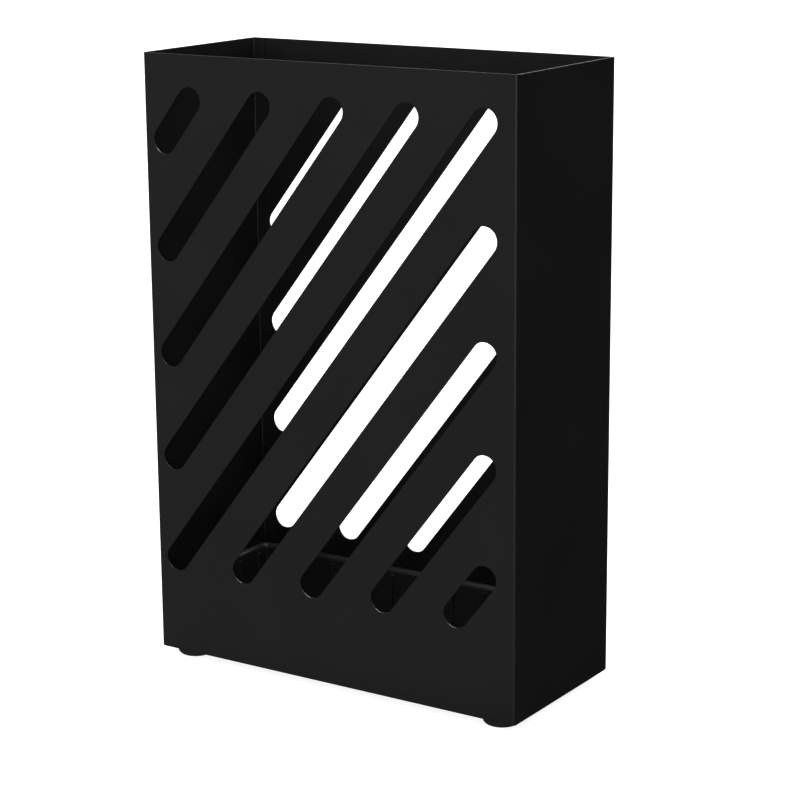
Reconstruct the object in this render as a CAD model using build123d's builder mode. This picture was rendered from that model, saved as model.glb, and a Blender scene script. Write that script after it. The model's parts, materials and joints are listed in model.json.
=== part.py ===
"""Umbrella stand: a slotted sheet-steel case on rubber feet, with a drip tray that lifts out.

Millimetres. X is the width, Y the depth with the front at -Y, and Z is up.
The origin is on the floor, under the middle of the case.
"""

import os
from math import atan2, degrees

from build123d import *

os.makedirs("parts", exist_ok=True)

# Case
WIDTH = 280.0
DEPTH = 120.0
HEIGHT = 410.0
FOOT_DROP = 6.0
SHEET = 1.0
BEND_RADIUS = 2.0  # outside of each upright bend
SEAM_FLANGE = 10.0  # the side walls turn in this far behind the back panel

# Slanted slots, nine on each face: the run of a slot grows by one pitch per slot
SLOT_WIDTH = 18.0
SLOT_PITCH = Vector(55.2, 70.7)
SHORTEST_RUN = Vector(20.5, 26.3)
LONGEST_SLOT = 4  # pitches that the middle slot is longer than the shortest one
TOP_MARGIN = 29.5  # case's top edge to the centres of the upper slot ends
FRONT_LEFT_MARGIN = 16.1  # case's left edge to the centres of the left slot ends
BACK_LEFT_MARGIN = 19.6

# Base plate, a shallow pan welded inside the case
BASE_FLANGE = 10.0
BASE_BEND = 1.6
CORNER_NOTCH = 6.0
SEAM_NOTCH = 13.0

# Feet and their fixings
FOOT_X = 122.0
FOOT_Y = 45.0
FOOT_RADIUS = 12.5
FOOT_EDGE_RADIUS = 3.6
FOOT_RECESS_RADIUS = 4.9
FOOT_HOLE_RADIUS = 2.2
WASHER_RADIUS = 4.5
WASHER_THICKNESS = 0.8
WASHER_TOP = 3.6
SCREW_RADIUS = 2.0
SCREW_LENGTH = 8.0
SCREW_HEAD_RADIUS = 3.8
SCREW_HEAD_HEIGHT = 2.2
CROSS_WIDTH = 1.0
CROSS_LENGTH = 4.4
CROSS_DEPTH = 1.2
NUT_ACROSS_FLATS = 7.0
NUT_HEIGHT = 3.2
NUT_CHAMFER = 0.4

# Drip tray
TRAY_WIDTH = 276.6
TRAY_DEPTH = 114.5
TRAY_Y = -0.5  # sits forward, clear of the seam flanges
TRAY_TOP = 50.0
TRAY_CORNER = 7.0
LIP_REACH = 2.3  # the lip stands out this far from the wall
LIP_HEIGHT = 5.4
LIP_ROUND = 3.4  # the inner side of the lip rolls over into the wall
LIP_EDGE_RADIUS = 0.7
WALL = 2.0
WALL_DRAFT = 0.5
TRAY_FLOOR = 2.0
TRAY_FLOOR_TOP = 13.5
ISLAND_HALF_WIDTH = 84.0
ISLAND_HALF_DEPTH = 47.5
ISLAND_TOP = 16.0
ISLAND_EDGE_RADIUS = 0.8
RIB_WIDTH = 1.5
RIB_REACH = 1.8
RIB_ROOT = 1.0  # how deep a rib is sunk in its wall
RIB_TOP = 45.0
RIB_CORNER = 0.5
RIB_TOP_ROUND = 0.2
LENGTH_MATCH = 0.01
LONG_WALL_RIBS = 11
LONG_RIB_PITCH = 24.8
SHORT_WALL_RIBS = 5
SHORT_RIB_PITCH = 22.0
BEARER_PITCH = 62.0
BEARER_WIDTH = 2.0

# Worked out from the above
CASE_HEIGHT = HEIGHT - FOOT_DROP
BASE_TOP = FOOT_DROP + SHEET
INSIDE_WIDTH = WIDTH - 2 * SHEET
CASE_BACK = DEPTH / 2
SHELL_BACK = CASE_BACK - SHEET  # outer face of the seam flanges
INSIDE_FRONT = -DEPTH / 2 + SHEET
BASE_BACK = SHELL_BACK - SHEET
BASE_DEPTH = BASE_BACK - INSIDE_FRONT
BASE_Y = (BASE_BACK + INSIDE_FRONT) / 2
LOWEST_SLOT_Z = HEIGHT - TOP_MARGIN - SHORTEST_RUN.Y - LONGEST_SLOT * SLOT_PITCH.Y
FOOT_PLACES = {
    "foot_front_left": (-FOOT_X, -FOOT_Y),
    "foot_front_right": (FOOT_X, -FOOT_Y),
    "foot_rear_left": (-FOOT_X, FOOT_Y),
    "foot_rear_right": (FOOT_X, FOOT_Y),
}


def slots(left_margin):
    """Add the nine slots to the upright sketch that is open, X across and Y up."""
    first = Vector(left_margin - WIDTH / 2, LOWEST_SLOT_Z)
    for step in range(-LONGEST_SLOT, LONGEST_SLOT + 1):
        start = first + Vector(max(step, 0) * SLOT_PITCH.X, max(-step, 0) * SLOT_PITCH.Y)
        run = SHORTEST_RUN + SLOT_PITCH * (LONGEST_SLOT - abs(step))
        slant = degrees(atan2(run.Y, run.X))
        with Locations(start + run * 0.5):
            SlotCenterToCenter(run.length, SLOT_WIDTH, rotation=slant)


def rim_reach(edge):
    """How far inside the tray's outline the middle of an edge lies."""
    middle = edge.position_at(0.5)
    across = TRAY_WIDTH / 2 - abs(middle.X)
    along = TRAY_DEPTH / 2 - abs(middle.Y - TRAY_Y)
    return min(across, along)


def is_outer_rim(edge):
    return rim_reach(edge) < LIP_REACH


def is_inner_rim(edge):
    return rim_reach(edge) > LIP_REACH


def is_rib_end(edge):
    return abs(edge.length - RIB_WIDTH + 2 * RIB_CORNER) < LENGTH_MATCH


def finish(builder, label):
    """Name the finished piece and write it."""
    builder.part.label = label
    export_step(builder.part, f"parts/{label}.step")


# Front panel and both side walls, bent from one sheet
with BuildPart() as front_shell:
    with BuildSketch(Plane.XY.offset(FOOT_DROP)):
        with BuildLine():
            flange_end = WIDTH / 2 - SEAM_FLANGE
            corners = [
                (-flange_end, SHELL_BACK),
                (-WIDTH / 2, SHELL_BACK),
                (-WIDTH / 2, -DEPTH / 2),
                (WIDTH / 2, -DEPTH / 2),
                (WIDTH / 2, SHELL_BACK),
                (flange_end, SHELL_BACK),
            ]
            outside = FilletPolyline(*corners, radius=BEND_RADIUS)
            offset(outside, amount=SHEET, side=Side.LEFT)
        make_face()
    extrude(amount=CASE_HEIGHT)
    with BuildSketch(Plane.XZ.offset(DEPTH / 2)):
        slots(FRONT_LEFT_MARGIN)
    extrude(amount=-2 * SHEET, mode=Mode.SUBTRACT)
finish(front_shell, "front_shell")


# Flat back panel, spot-welded to the seam flanges
with BuildPart() as back_panel:
    with BuildSketch(Plane.XZ.offset(-CASE_BACK)):
        with Locations((0, FOOT_DROP + CASE_HEIGHT / 2)):
            Rectangle(WIDTH - SHEET, CASE_HEIGHT)
        with BuildSketch(mode=Mode.SUBTRACT):
            slots(BACK_LEFT_MARGIN)
    extrude(amount=SHEET)
finish(back_panel, "back_panel")


# Base plate: a pan with its flanges turned up against the walls
with BuildPart() as base_plate:
    with BuildSketch(Plane.XY.offset(FOOT_DROP)):
        with Locations((0, BASE_Y)):
            Rectangle(INSIDE_WIDTH, BASE_DEPTH)
    extrude(amount=SHEET + BASE_FLANGE)
    fillet(base_plate.faces().sort_by(Axis.Z)[0].edges(), BASE_BEND)
    offset(amount=-SHEET, openings=base_plate.faces().sort_by(Axis.Z)[-1])
    with BuildSketch(Plane.XY.offset(FOOT_DROP)):
        with Locations((0, BASE_Y)):
            with GridLocations(INSIDE_WIDTH, BASE_DEPTH, 2, 2):
                Rectangle(2 * CORNER_NOTCH, 2 * CORNER_NOTCH)
        with Locations((0, BASE_BACK)):
            with GridLocations(INSIDE_WIDTH, 0, 2, 1):
                Rectangle(2 * SEAM_NOTCH, 2 * CORNER_NOTCH)
        with GridLocations(2 * FOOT_X, 2 * FOOT_Y, 2, 2):
            Circle(FOOT_HOLE_RADIUS)
    extrude(amount=SHEET + BASE_FLANGE, mode=Mode.SUBTRACT)
finish(base_plate, "base_plate")


# Rubber feet, recessed below for the screw
for foot_name, (foot_x, foot_y) in FOOT_PLACES.items():
    foot_plane = Plane(origin=(foot_x, foot_y, 0), x_dir=(1, 0, 0), z_dir=(0, -1, 0))
    with BuildPart() as foot:
        with BuildSketch(foot_plane):
            with BuildLine():
                toe = (FOOT_RADIUS - FOOT_EDGE_RADIUS, 0)
                side = (FOOT_RADIUS, FOOT_EDGE_RADIUS)
                Polyline(
                    toe,
                    (FOOT_RECESS_RADIUS, 0),
                    (FOOT_RECESS_RADIUS, WASHER_TOP),
                    (FOOT_HOLE_RADIUS, WASHER_TOP),
                    (FOOT_HOLE_RADIUS, FOOT_DROP),
                    (FOOT_RADIUS, FOOT_DROP),
                    side,
                )
                TangentArc(side, toe, tangent=(0, -1))
            make_face()
        revolve(axis=Axis((foot_x, foot_y, 0), (0, 0, 1)))
    finish(foot, foot_name)


# Steel washers, one in the recess of each foot
with BuildPart() as foot_washers:
    with BuildSketch(Plane.XY.offset(WASHER_TOP - WASHER_THICKNESS)):
        with GridLocations(2 * FOOT_X, 2 * FOOT_Y, 2, 2):
            Circle(WASHER_RADIUS)
            Circle(FOOT_HOLE_RADIUS, mode=Mode.SUBTRACT)
    extrude(amount=WASHER_THICKNESS)
finish(foot_washers, "foot_washers")


# Pan-head screws with a cross recess, driven up through each foot
with BuildPart() as foot_screws:
    head_seat = WASHER_TOP - WASHER_THICKNESS
    head_bottom = head_seat - SCREW_HEAD_HEIGHT
    with BuildSketch(Plane.XY.offset(head_bottom)):
        with GridLocations(2 * FOOT_X, 2 * FOOT_Y, 2, 2):
            Circle(SCREW_HEAD_RADIUS)
    extrude(amount=SCREW_HEAD_HEIGHT)
    fillet(foot_screws.edges().group_by(Axis.Z)[0], SCREW_HEAD_HEIGHT / 2)
    with BuildSketch(Plane.XY.offset(head_bottom)):
        with GridLocations(2 * FOOT_X, 2 * FOOT_Y, 2, 2):
            Rectangle(CROSS_LENGTH, CROSS_WIDTH)
            Rectangle(CROSS_WIDTH, CROSS_LENGTH)
    extrude(amount=CROSS_DEPTH, mode=Mode.SUBTRACT)
    with BuildSketch(Plane.XY.offset(head_seat)):
        with GridLocations(2 * FOOT_X, 2 * FOOT_Y, 2, 2):
            Circle(SCREW_RADIUS)
    extrude(amount=SCREW_LENGTH)
    chamfer(foot_screws.edges().group_by(Axis.Z)[-1], NUT_CHAMFER)
finish(foot_screws, "foot_screws")


# Hexagon nuts on top of the base plate
with BuildPart() as foot_nuts:
    with BuildSketch(Plane.XY.offset(BASE_TOP)):
        with GridLocations(2 * FOOT_X, 2 * FOOT_Y, 2, 2):
            RegularPolygon(NUT_ACROSS_FLATS / 2, 6, major_radius=False)
    extrude(amount=NUT_HEIGHT)
    chamfer(foot_nuts.edges().group_by(Axis.Z)[-1], NUT_CHAMFER)
    with BuildSketch(Plane.XY.offset(BASE_TOP)):
        with GridLocations(2 * FOOT_X, 2 * FOOT_Y, 2, 2):
            Circle(SCREW_RADIUS)
    extrude(amount=NUT_HEIGHT, mode=Mode.SUBTRACT)
finish(foot_nuts, "foot_nuts")


# Drip tray: a moulded pan with a flared lip, upright ribs inside and a raised oval island
with BuildPart() as drip_tray:
    lip_bottom = TRAY_TOP - LIP_HEIGHT
    wall_reach = LIP_REACH + WALL
    foot_reach = wall_reach + WALL_DRAFT
    outside_levels = {
        BASE_TOP: LIP_REACH + WALL_DRAFT,
        lip_bottom - WALL: LIP_REACH,
        lip_bottom + WALL: 0,
        TRAY_TOP: 0,
    }
    for level, reach in outside_levels.items():
        with BuildSketch(Plane.XY.offset(level)):
            with Locations((0, TRAY_Y)):
                RectangleRounded(TRAY_WIDTH - 2 * reach, TRAY_DEPTH - 2 * reach, TRAY_CORNER - reach)
    loft(ruled=True)
    inside_levels = {TRAY_FLOOR_TOP: foot_reach, lip_bottom: wall_reach, TRAY_TOP: wall_reach}
    for level, reach in inside_levels.items():
        with BuildSketch(Plane.XY.offset(level)):
            with Locations((0, TRAY_Y)):
                RectangleRounded(TRAY_WIDTH - 2 * reach, TRAY_DEPTH - 2 * reach, TRAY_CORNER - reach)
    loft(ruled=True, mode=Mode.SUBTRACT)
    rim_edges = drip_tray.edges().group_by(Axis.Z)[-1]
    fillet(rim_edges.filter_by(is_outer_rim), LIP_EDGE_RADIUS)
    rim_edges = drip_tray.edges().group_by(Axis.Z)[-1]
    fillet(rim_edges.filter_by(is_inner_rim), LIP_ROUND)
    hollow_height = TRAY_FLOOR_TOP - TRAY_FLOOR - BASE_TOP
    with BuildSketch(Plane.XY.offset(BASE_TOP)):
        with Locations((0, TRAY_Y)):
            RectangleRounded(
                TRAY_WIDTH - 2 * foot_reach, TRAY_DEPTH - 2 * foot_reach, TRAY_CORNER - foot_reach
            )
            with GridLocations(BEARER_PITCH, 0, 3, 1):
                Rectangle(BEARER_WIDTH, TRAY_DEPTH, mode=Mode.SUBTRACT)
    extrude(amount=hollow_height, mode=Mode.SUBTRACT)
    rib_middle = wall_reach + (RIB_REACH - RIB_ROOT) / 2
    rib_length = RIB_REACH + RIB_ROOT
    with BuildSketch(Plane.XY.offset(TRAY_FLOOR_TOP)):
        with Locations((0, TRAY_Y)):
            with GridLocations(LONG_RIB_PITCH, TRAY_DEPTH - 2 * rib_middle, LONG_WALL_RIBS, 2):
                RectangleRounded(RIB_WIDTH, rib_length, RIB_CORNER)
            with GridLocations(TRAY_WIDTH - 2 * rib_middle, SHORT_RIB_PITCH, 2, SHORT_WALL_RIBS):
                RectangleRounded(rib_length, RIB_WIDTH, RIB_CORNER)
    extrude(amount=RIB_TOP - TRAY_FLOOR_TOP)
    rib_top_edges = drip_tray.edges().filter_by_position(Axis.Z, RIB_TOP, RIB_TOP)
    fillet(rib_top_edges.filter_by(is_rib_end), RIB_TOP_ROUND)
    with BuildSketch(Plane.XY.offset(TRAY_FLOOR_TOP)):
        with Locations((0, TRAY_Y)):
            Ellipse(ISLAND_HALF_WIDTH, ISLAND_HALF_DEPTH)
    extrude(amount=ISLAND_TOP - TRAY_FLOOR_TOP)
    fillet(drip_tray.edges().filter_by_position(Axis.Z, ISLAND_TOP, ISLAND_TOP), ISLAND_EDGE_RADIUS)
finish(drip_tray, "drip_tray")
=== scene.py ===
"""Looks of the umbrella stand: its materials, a white floor, soft studio light and the camera."""
import json
import math

import bpy
from mathutils import Matrix, Vector


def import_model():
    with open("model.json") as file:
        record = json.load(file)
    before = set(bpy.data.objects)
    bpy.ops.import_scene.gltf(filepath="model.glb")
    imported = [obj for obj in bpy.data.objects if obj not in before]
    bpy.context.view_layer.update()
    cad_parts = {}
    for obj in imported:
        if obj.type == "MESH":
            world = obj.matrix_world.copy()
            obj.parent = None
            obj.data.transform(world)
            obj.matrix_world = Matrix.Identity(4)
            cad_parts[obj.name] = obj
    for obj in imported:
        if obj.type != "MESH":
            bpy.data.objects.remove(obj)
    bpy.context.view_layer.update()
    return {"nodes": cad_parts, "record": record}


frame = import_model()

SCENE = bpy.context.scene

# Camera: where it stands and how it is turned
CAMERA_PLACE = Vector((0.8375, -1.2471, 0.5574))
CAMERA_YAW = math.radians(33.34)
CAMERA_DIP = math.radians(13.95)
CAMERA_ROLL = math.radians(-0.45)
LENS_MM = 106.1
VIEW_DEPTH = 100  # metres

# Floor as the camera sees it: a diffuse paint, lifted to white
FLOOR_SIZE = 60  # metres
FLOOR_PAINT = 0.5
FLOOR_LIFT = 0.88

# Light that the floor throws at the object: dim behind it and bright in front of it
GLOW_TOWARD = (-0.12, -0.99, 0)
GLOW_START = 0.0  # metres from the middle of the case
GLOW_FULL = 0.12
GLOW_DIM = 0.03
GLOW_BRIGHT = 0.28

# Background as the camera sees it, and as every other ray does
BACKGROUND = 1.0
SURROUND = 0.02

# Lamps: name, azimuth, elevation, spread (all in degrees), strength
LAMPS = (
    ("front_low", -34, 8, 40, 0.22),
    ("bend", 34, 4, 12, 0.80),
    ("key", 15, 35, 40, 1.0),
    ("left_high", -34, 45, 50, 0.4),
    ("overhead", 0, 88, 60, 1.2),
    ("right_high", 90, 60, 60, 1.1),
    ("back_high", 180, 40, 60, 1.1),
    ("back_low", -146, 13, 60, 0.20),
    ("back_soft", -170, 38, 30, 2.4),
)

MM = 0.001

# Edge finding: the bevelled and the flat normals' dot product where an edge counts fully or not at all
BEVEL_SAMPLES = 6
EDGE_SHARP = 0.75
EDGE_NONE = 0.99


def grey(level):
    return (level, level, level, 1)


class Nodes:
    """Short hands for building one material's node tree."""

    def __init__(self, name):
        self.material = bpy.data.materials.new(name)
        self.material.use_nodes = True
        self.tree = self.material.node_tree
        self.shader = self.tree.nodes["Principled BSDF"]
        self.place = self.new("ShaderNodeTexCoord").outputs["Object"]

    def new(self, kind, **settings):
        node = self.tree.nodes.new(kind)
        for key, value in settings.items():
            setattr(node, key, value)
        return node

    def link(self, source, target):
        self.tree.links.new(source, target)

    def noise(self, size, detail=2.0, stretch=None):
        """Cloudy noise whose blobs are about size metres across."""
        node = self.new("ShaderNodeTexNoise")
        node.inputs["Scale"].default_value = 1 / size
        node.inputs["Detail"].default_value = detail
        place = self.place
        if stretch:
            mapping = self.new("ShaderNodeMapping")
            mapping.inputs["Scale"].default_value = stretch
            self.link(place, mapping.inputs["Vector"])
            place = mapping.outputs["Vector"]
        self.link(place, node.inputs["Vector"])
        return node.outputs["Fac"]

    def spread(self, value, low, high, start=0.3, stop=0.7):
        """Map a 0..1 value from the range start..stop to low..high."""
        node = self.new("ShaderNodeMapRange")
        node.inputs["From Min"].default_value = start
        node.inputs["From Max"].default_value = stop
        node.inputs["To Min"].default_value = low
        node.inputs["To Max"].default_value = high
        self.link(value, node.inputs["Value"])
        return node.outputs["Result"]

    def maths(self, operation, first, second=None):
        node = self.new("ShaderNodeMath", operation=operation)
        for socket, value in zip(node.inputs, (first, second)):
            if isinstance(value, (int, float)):
                socket.default_value = value
            elif value is not None:
                self.link(value, socket)
        return node.outputs["Value"]

    def mix(self, factor, first, second):
        """Mix two colours by a 0..1 value."""
        node = self.new("ShaderNodeMix", data_type="RGBA")
        self.link(factor, node.inputs["Factor"])
        for socket, value in ((node.inputs["A"], first), (node.inputs["B"], second)):
            if isinstance(value, tuple):
                socket.default_value = (*value, 1)
            else:
                self.link(value, socket)
        return node.outputs["Result"]

    def edges(self, radius):
        """1 where the surface turns within radius metres, 0 on the flat."""
        bevel = self.new("ShaderNodeBevel", samples=BEVEL_SAMPLES)
        bevel.inputs["Radius"].default_value = radius
        flat = self.new("ShaderNodeNewGeometry").outputs["True Normal"]
        node = self.new("ShaderNodeVectorMath", operation="DOT_PRODUCT")
        self.link(bevel.outputs["Normal"], node.inputs[0])
        self.link(flat, node.inputs[1])
        return self.spread(node.outputs["Value"], 1, 0, EDGE_SHARP, EDGE_NONE)

    def bump(self, *layers, round_edges=0.0):
        """Stack bump layers of (height value, depth in metres, strength)."""
        normal = None
        if round_edges:
            bevel = self.new("ShaderNodeBevel", samples=BEVEL_SAMPLES)
            bevel.inputs["Radius"].default_value = round_edges
            normal = bevel.outputs["Normal"]
        for height, depth, strength in layers:
            node = self.new("ShaderNodeBump")
            node.inputs["Distance"].default_value = depth
            node.inputs["Strength"].default_value = strength
            self.link(height, node.inputs["Height"])
            if normal:
                self.link(normal, node.inputs["Normal"])
            normal = node.outputs["Normal"]
        self.link(normal, self.shader.inputs["Normal"])


def powder_coat():
    """Satin black powder coat: a fine pebbled skin with slight changes of gloss."""
    deep = (0.0058, 0.0058, 0.0060)
    pale = (0.0070, 0.0070, 0.0072)
    # Painted highlight: a paler colour for the edges, standing in for light that catches them
    painted_edge_highlight = (0.012, 0.012, 0.0125)
    n = Nodes("powder_coat")
    pebble = n.noise(0.9 * MM, 2)
    grain = n.noise(0.32 * MM, 1)
    cloud = n.noise(70 * MM, 4)
    edge = n.edges(0.5 * MM)
    colour = n.mix(n.spread(cloud, 0, 1), deep, pale)
    # Painted highlight: every turned edge is lightened half way to the paler edge colour, as if lit
    colour = n.mix(n.maths("MULTIPLY", edge, 0.5), colour, painted_edge_highlight)
    n.link(colour, n.shader.inputs["Base Color"])
    gloss = n.maths("ADD", n.spread(cloud, 0.38, 0.43), n.spread(grain, -0.03, 0.03))
    n.link(gloss, n.shader.inputs["Roughness"])
    n.shader.inputs["Specular IOR Level"].default_value = 0.35
    n.bump((pebble, 0.06 * MM, 0.35), (grain, 0.02 * MM, 0.35), round_edges=0.35 * MM)
    return n.material


def tray_plastic():
    """Moulded black plastic with a fine spark-eroded grain."""
    deep = (0.0130, 0.0130, 0.0134)
    pale = (0.0155, 0.0155, 0.0160)
    # Painted highlight: a much paler colour for the edges of rim and ribs, standing in for light caught
    # there
    painted_edge_highlight = (0.100, 0.100, 0.102)
    n = Nodes("tray_plastic")
    grain = n.noise(0.35 * MM, 2)
    cloud = n.noise(45 * MM, 3)
    edge = n.edges(0.6 * MM)
    colour = n.mix(n.spread(cloud, 0, 1), deep, pale)
    # Painted highlight: every turned edge is lightened most of the way to the pale edge colour, as if
    # lit
    colour = n.mix(n.maths("MULTIPLY", edge, 0.8), colour, painted_edge_highlight)
    n.link(colour, n.shader.inputs["Base Color"])
    gloss = n.maths("ADD", n.spread(cloud, 0.36, 0.44), n.spread(grain, -0.04, 0.04))
    n.link(gloss, n.shader.inputs["Roughness"])
    n.shader.inputs["Specular IOR Level"].default_value = 0.5
    n.bump((grain, 0.03 * MM, 0.4), round_edges=0.4 * MM)
    return n.material


def foot_rubber():
    """Matte rubber, scuffed grey where it meets the floor."""
    black = (0.010, 0.010, 0.010)
    dusty = (0.035, 0.034, 0.032)
    scuff_height = 1.6 * MM
    n = Nodes("foot_rubber")
    grain = n.noise(0.25 * MM, 2)
    patch = n.noise(6 * MM, 4)
    separate = n.new("ShaderNodeSeparateXYZ")
    n.link(n.place, separate.inputs["Vector"])
    low = n.spread(separate.outputs["Z"], 1, 0, 0, scuff_height)
    scuff = n.maths("MULTIPLY", low, n.spread(patch, 0.1, 0.9, 0.4, 0.6))
    colour = n.mix(scuff, black, dusty)
    n.link(colour, n.shader.inputs["Base Color"])
    n.link(n.spread(patch, 0.62, 0.8), n.shader.inputs["Roughness"])
    n.shader.inputs["Specular IOR Level"].default_value = 0.4
    n.bump((grain, 0.03 * MM, 0.5))
    return n.material


def zinc_steel():
    """Bright zinc plate with faint spangle and drag marks."""
    blue_grey = (0.52, 0.53, 0.55)
    warm_grey = (0.66, 0.66, 0.64)
    n = Nodes("zinc_steel")
    spangle = n.noise(1.2 * MM, 1)
    drag = n.noise(0.5 * MM, 2, stretch=(1, 1, 6))
    n.shader.inputs["Metallic"].default_value = 1
    colour = n.mix(n.spread(spangle, 0, 1), blue_grey, warm_grey)
    n.link(colour, n.shader.inputs["Base Color"])
    n.link(n.spread(drag, 0.24, 0.4), n.shader.inputs["Roughness"])
    n.bump((drag, 0.02 * MM, 0.3), round_edges=0.15 * MM)
    return n.material


def dress():
    """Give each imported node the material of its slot."""
    materials = {
        "powder_coat": powder_coat(),
        "tray_plastic": tray_plastic(),
        "foot_rubber": foot_rubber(),
        "zinc_steel": zinc_steel(),
    }
    for part in frame["record"]["subparts"]:
        node = frame["nodes"][part["node"]]
        for slot in node.material_slots:
            slot.material = materials[part["material_slot"]]


def camera_split(tree, shown, unseen, output):
    """Send camera rays to one shader and every other ray to the other."""
    path = tree.nodes.new("ShaderNodeLightPath")
    mix = tree.nodes.new("ShaderNodeMixShader")
    tree.links.new(path.outputs["Is Camera Ray"], mix.inputs[0])
    tree.links.new(unseen.outputs[0], mix.inputs[1])
    tree.links.new(shown.outputs[0], mix.inputs[2])
    tree.links.new(mix.outputs[0], output.inputs[0])


def floor():
    """A plain white floor that throws light back at the object, mostly at its front."""
    bpy.ops.mesh.primitive_plane_add(size=FLOOR_SIZE, location=(0, 0, 0))
    plane = bpy.context.object
    plane.name = "floor"
    material = bpy.data.materials.new("floor")
    material.use_nodes = True
    tree = material.node_tree
    tree.nodes.clear()

    paint = tree.nodes.new("ShaderNodeBsdfDiffuse")
    paint.inputs["Color"].default_value = grey(FLOOR_PAINT)
    lift = tree.nodes.new("ShaderNodeEmission")
    lift.inputs["Strength"].default_value = FLOOR_LIFT
    shown = tree.nodes.new("ShaderNodeAddShader")
    tree.links.new(paint.outputs[0], shown.inputs[0])
    tree.links.new(lift.outputs[0], shown.inputs[1])

    glow = tree.nodes.new("ShaderNodeEmission")
    place = tree.nodes.new("ShaderNodeTexCoord")
    forward = tree.nodes.new("ShaderNodeVectorMath")
    forward.operation = "DOT_PRODUCT"
    forward.inputs[1].default_value = GLOW_TOWARD
    ramp = tree.nodes.new("ShaderNodeMapRange")
    ramp.interpolation_type = "SMOOTHSTEP"
    ramp.inputs["From Min"].default_value = GLOW_START
    ramp.inputs["From Max"].default_value = GLOW_FULL
    ramp.inputs["To Min"].default_value = GLOW_DIM
    ramp.inputs["To Max"].default_value = GLOW_BRIGHT
    tree.links.new(place.outputs["Object"], forward.inputs[0])
    tree.links.new(forward.outputs["Value"], ramp.inputs["Value"])
    tree.links.new(ramp.outputs["Result"], glow.inputs["Strength"])

    camera_split(tree, shown, glow, tree.nodes.new("ShaderNodeOutputMaterial"))
    plane.data.materials.append(material)


def world():
    """White behind the object, and a dim grey surround for the light."""
    sky = bpy.data.worlds.new("studio")
    SCENE.world = sky
    sky.use_nodes = True
    tree = sky.node_tree
    tree.nodes.clear()
    shown = tree.nodes.new("ShaderNodeBackground")
    shown.inputs["Color"].default_value = grey(BACKGROUND)
    surround = tree.nodes.new("ShaderNodeBackground")
    surround.inputs["Color"].default_value = grey(SURROUND)
    camera_split(tree, shown, surround, tree.nodes.new("ShaderNodeOutputWorld"))


def lamp(name, azimuth, elevation, spread, strength):
    """Soft light from one direction, in degrees. Azimuth 0 is the front and 90 the right side."""
    light = bpy.data.lights.new(name, "SUN")
    light.angle = math.radians(spread)
    light.energy = strength
    holder = bpy.data.objects.new(name, light)
    SCENE.collection.objects.link(holder)
    turn = math.radians(azimuth)
    rise = math.radians(elevation)
    toward = Vector((math.sin(turn) * math.cos(rise), -math.cos(turn) * math.cos(rise), math.sin(rise)))
    holder.rotation_euler = toward.to_track_quat("Z", "Y").to_euler()


def camera():
    """The camera that the picture is framed by, with no shift and no depth of field."""
    view = bpy.data.cameras.new("camera")
    view.lens = LENS_MM
    view.clip_end = VIEW_DEPTH
    holder = bpy.data.objects.new("camera", view)
    SCENE.collection.objects.link(holder)
    turn = Matrix.Rotation(CAMERA_YAW, 4, "Z")
    tilt = Matrix.Rotation(math.pi / 2 - CAMERA_DIP, 4, "X")
    roll = Matrix.Rotation(CAMERA_ROLL, 4, "Z")
    holder.matrix_world = Matrix.Translation(CAMERA_PLACE) @ turn @ tilt @ roll
    SCENE.camera = holder


dress()
floor()
world()
for settings in LAMPS:
    lamp(*settings)
camera()
SCENE.view_settings.view_transform = "Standard"
